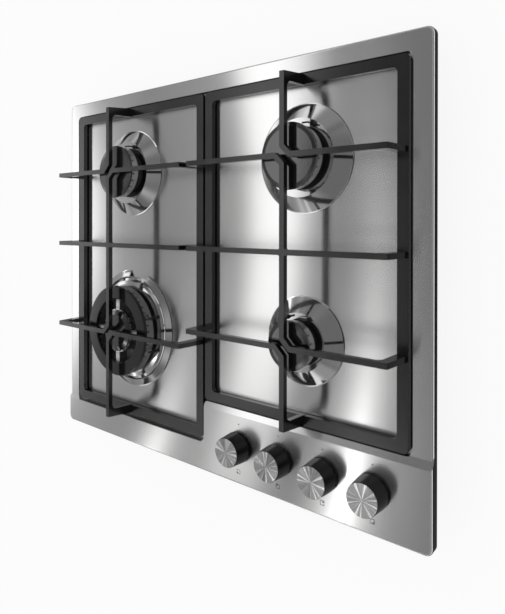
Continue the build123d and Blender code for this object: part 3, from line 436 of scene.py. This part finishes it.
# ---------------------------------------------------------------- burners
# Each stands on a polished drip trim: a cast aluminium crown, with painted
# shade on its neck below the ports, or paler and glossier on the wok's hub rim
# and bridges, under a cap of black enamel, with a near-black ceramic spark pin
# beside it.
def round_axis(tree, name):
    """Distance from the upright axis through a node's middle, and the X and Y from there."""
    low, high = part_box(name)
    centre = tuple((low + high) / 2)
    x, y, _ = tree.grow("TexCoord", output="Object").vector("SUBTRACT", centre).parts()
    return (x * x + y * y).sum("SQRT"), x, y


def away_from_axis(tree, radius, x, y, least=0.0002):
    """The level direction outwards: X and Y over their distance from the axis."""
    return tree.grow("CombineXYZ", {0: x / radius.at_least(least), 1: y / radius.at_least(least)})


def lathe_noise(tree, radius, lines, detail):
    """Noise that changes only with the distance from the axis."""
    return tree.grow("TexNoise", {"W": radius * lines, "Scale": 1.0, "Detail": detail},
                     noise_dimensions="1D")


BEAD_FROM, BEAD_TO = 0.0013, 0.0007     # in from the trim's edge
BEAD_LEAN = -0.75


def spun_steel(name, grey, rough, lathe_lines):
    """Polished trim: faint lathe rings round its own centre, and a bead at its edge."""
    material, tree = new_material(name)
    low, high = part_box(name)
    outer_r = (high[0] - low[0]) / 2
    radius, x, y = round_axis(tree, name)
    ring = lathe_noise(tree, radius, lathe_lines, 2.0)
    tone = grey * (0.95 + 0.10 * ring)
    bead = radius.ease(outer_r - BEAD_FROM, outer_r - BEAD_TO)
    normal = tilted_normal(tree, bead * BEAD_LEAN, away_from_axis(tree, radius, x, y))
    shine = principled(tree, Base_Color=tone.grey(), Metallic=1.0, Roughness=rough + 0.06 * ring,
                       Normal=normal)
    return finish_material(material, shine)


def gloss_enamel(name, index):
    """Vitreous black enamel: smooth, with the faint swell of a fired coat."""
    material, tree = new_material(name)
    swell = even_noise(tree, 220.0, 1.0)
    relief = tree.grow("Bump", {"Strength": 0.25, "Distance": 0.00006, "Height": swell})
    level = 0.002 + 0.004 * even_noise(tree, 60.0)
    enamel = principled(tree, Base_Color=level.grey(), Roughness=0.12, IOR=index, Normal=relief)
    return finish_material(material, enamel)


def cast_aluminium(material, tree, tone, speck, rough):
    """Cast metal of a given tone and gloss, with the specks as fine relief."""
    relief = tree.grow("Bump", {"Strength": 0.5, "Distance": 0.00004, "Height": speck})
    return finish_material(material, principled(tree, Base_Color=tone.grey(), Metallic=1.0,
                                                Normal=relief, Roughness=rough))


CAST_SPECKS = 2600.0            # per metre
CAST_ROUGH = 0.42


def shaded_neck_crown(place):
    """Cast aluminium: bright round the ports, with painted shade darkening the neck below them."""
    material, tree = new_material("crown_aluminium_" + place)
    trim_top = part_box("burner_trim_" + place)[1][2]
    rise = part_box("burner_crown_" + place)[1][2] - trim_top
    height = tree.grow("TexCoord", output="Object").parts()[2]
    # Painted shade: the neck between the trim and the ports is painted dark.
    above_painted_shade = height.ease(trim_top + 0.38 * rise, trim_top + 0.48 * rise)
    speck = even_noise(tree, CAST_SPECKS, 3.0)
    tone = (0.05 + 0.42 * above_painted_shade) * (0.85 + 0.30 * speck)
    return cast_aluminium(material, tree, tone, speck, CAST_ROUGH)


def pale_rimmed_crown(name, hub_rim=0.0296, rim_width=0.0013, bridges=0.036, bridge_width=0.0045):
    """Cast aluminium, paler and glossier on the rim of its hub and on its four bridges."""
    material, tree = new_material("crown_pale_rims")
    radius, _, _ = round_axis(tree, name)
    # The hub rim and the four bridges get a paler tone and a lower roughness.
    pale_bands = bell(radius, hub_rim, rim_width).at_least(bell(radius, bridges, bridge_width) * 0.6)
    speck = even_noise(tree, CAST_SPECKS, 3.0)
    tone = 0.26 + 0.10 * speck + 0.55 * pale_bands
    return cast_aluminium(material, tree, tone, speck, CAST_ROUGH - 0.22 * pale_bands)


places = ("back_left", "back_right", "front_right", "wok")
TRIM_GREYS = (0.72, 0.72, 0.72, 0.58)
TRIM_ROUGH = 0.07
LATHE_LINES = 900.0             # per metre
for place, grey in zip(places, TRIM_GREYS):
    dress(spun_steel("burner_trim_" + place, grey, TRIM_ROUGH, LATHE_LINES),
          "burner_trim_" + place)
cast_cup = grained("cast_cup", (0.40, 0.40, 0.41), 0.5, 900.0, 0.0001, metallic=1.0)
dress(cast_cup, *["burner_cup_" + place for place in places])
for place in places[:3]:
    dress(shaded_neck_crown(place), "burner_crown_" + place)
dress(pale_rimmed_crown("burner_crown_wok"), "burner_crown_wok")
dress(gloss_enamel("black_enamel", 2.0), "burner_cap_wok_inner",
      *["burner_cap_" + place for place in places[:3]])
dress(gloss_enamel("soft_black_enamel", 1.65), "burner_cap_wok")
# The spark pins and flame probes are coloured near black all over.
ceramic = grained("near_black_ceramic", (0.014, 0.013, 0.012), 0.26, 1200.0, 0.00002)
dress(ceramic, "igniters", "flame_probes")


# ---------------------------------------------------------------- pan supports
# Two grey-iron castings under satin black enamel, slightly rough, with a
# painted sheen: patches on the tops of the fingers are painted a little paler.
def satin_casting():
    """Enamelled iron: fine casting grain under a satin coat, with painted sheen in paler patches
    on top.
    """
    material, tree = new_material("black_casting")
    grain = even_noise(tree, 1500.0, 3.0)
    cloud = even_noise(tree, 40.0)
    relief = tree.grow("Bump", {"Strength": 0.35, "Distance": 0.00005, "Height": grain})
    finger_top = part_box("pan_support_left")[1][2]
    height = tree.grow("TexCoord", output="Object").parts()[2]
    # Painted sheen: the tops of the fingers are painted paler in patches.
    painted_top_sheen = height.ease(finger_top - 0.0009, finger_top - 0.0002) * cloud.ease(0.35, 0.65)
    level = 0.0005 + 0.0025 * cloud + 0.006 * painted_top_sheen
    return finish_material(material, principled(tree, Base_Color=level.grey(), IOR=1.75,
                                                Roughness=0.15 + 0.10 * cloud, Normal=relief))


dress(satin_casting(), "pan_support_left", "pan_support_right")


# ---------------------------------------------------------------- knobs
# Hollow black mouldings pushed onto the tap spindles, each with a sun-brushed
# steel disc let into its end.
RING_LINES = 3000.0             # per metre
# Frequency of the painted highlight rays round each disc, per radian of bearing.
PAINTED_RAYS_ROUND = 2.6
DISC_ROUGH = 0.26


def sun_brushed(name, start):
    """Disc brushed round its centre: rings lean the normal in and out, and painted highlight rays,
    bright wedges by bearing, vary its tone.
    """
    material, tree = new_material("sun_" + name)
    radius, x, y = round_axis(tree, name)
    ring = lathe_noise(tree, radius, RING_LINES, 1.0)
    bearing = x.sum("ARCTAN2", y)
    # Painted highlight: bright wedges round the disc's centre stand in for the fans of light it
    # mirrors.
    painted_ray_glints = tree.grow("TexNoise", {"W": bearing * PAINTED_RAYS_ROUND + start, "Scale": 1.0, "Detail": 3.0,
                                 "Roughness": 0.7}, noise_dimensions="1D")
    tone = 0.40 + 0.60 * painted_ray_glints.ease(0.46, 0.72)
    normal = tilted_normal(tree, (ring - 0.5) * 0.12, away_from_axis(tree, radius, x, y))
    return finish_material(material, principled(tree, Base_Color=tone.grey(), Metallic=1.0,
                                                Roughness=DISC_ROUGH, Anisotropic=1.0,
                                                Anisotropic_Rotation=0.25, Normal=normal))


dress(grained("knob_black", (0.003, 0.003, 0.003), 0.30, 2200.0, 0.00002),
      *["knob_%d" % n for n in numbers])
for n in numbers:
    dress(sun_brushed("knob_disc_%d" % n, 3.7 * n), "knob_disc_%d" % n)


# ---------------------------------------------------------------- marks on the panel
# A dot for off behind each knob, and in front of it a square with a dot in the
# corner of the burner that it serves, printed on the plate in dark ink.
ink = grained("printed_ink", (0.05, 0.05, 0.05), 0.55, 3000.0, 0.00001)


def inked_ring(name, centre, outer, inner, sides, film=0.00005):
    """Flat ring of film: two polygons of so many sides, with walls down to the plate."""
    around = (np.arange(sides) + 0.5) * 2 * np.pi / sides
    unit = np.stack([np.cos(around), np.sin(around)], axis=1) / np.cos(np.pi / sides)
    rows = [(outer, 0.0), (outer, film), (inner, film), (inner, 0.0)]
    points = np.concatenate([np.c_[np.array(centre[:2]) + unit * radius,
                                   np.full(sides, centre[2] + up)] for radius, up in rows])
    here = np.arange(sides)
    following = (here + 1) % sides
    faces = np.concatenate([np.stack([row * sides + here, row * sides + following,
                                      (row + 1) % 4 * sides + following,
                                      (row + 1) % 4 * sides + here], axis=1)
                            for row in range(4)])
    mesh = bpy.data.meshes.new(name)
    mesh.from_pydata(points.tolist(), [], faces.tolist())
    mesh.materials.append(ink)
    piece = bpy.data.objects.new(name, mesh)
    scene.collection.objects.link(piece)
    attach(piece, "base")


PANEL_TOP = 0.012
OFF_ROW, BURNER_ROW = -0.178, -0.235
SQUARE_HALF, LINE, DOT = 0.0026, 0.0005, 0.0008
PINHOLE = 0.02                                      # share of a dot left open in its middle
INTO_CORNER = 0.0011
SERVED = ((-1, -1), (-1, 1), (1, 1), (1, -1))       # corner of each knob's burner
for n, corner in zip(numbers, SERVED):
    low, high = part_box("knob_disc_%d" % n)
    x = (low[0] + high[0]) / 2
    inked_ring("off_dot_%d" % n, (x, OFF_ROW, PANEL_TOP), DOT, DOT * PINHOLE, 16)
    inked_ring("burner_square_%d" % n, (x, BURNER_ROW, PANEL_TOP),
               SQUARE_HALF, SQUARE_HALF - LINE, 4)
    dot_x, dot_y = x + corner[0] * INTO_CORNER, BURNER_ROW + corner[1] * INTO_CORNER
    inked_ring("burner_dot_%d" % n, (dot_x, dot_y, PANEL_TOP), DOT, DOT * PINHOLE, 12)
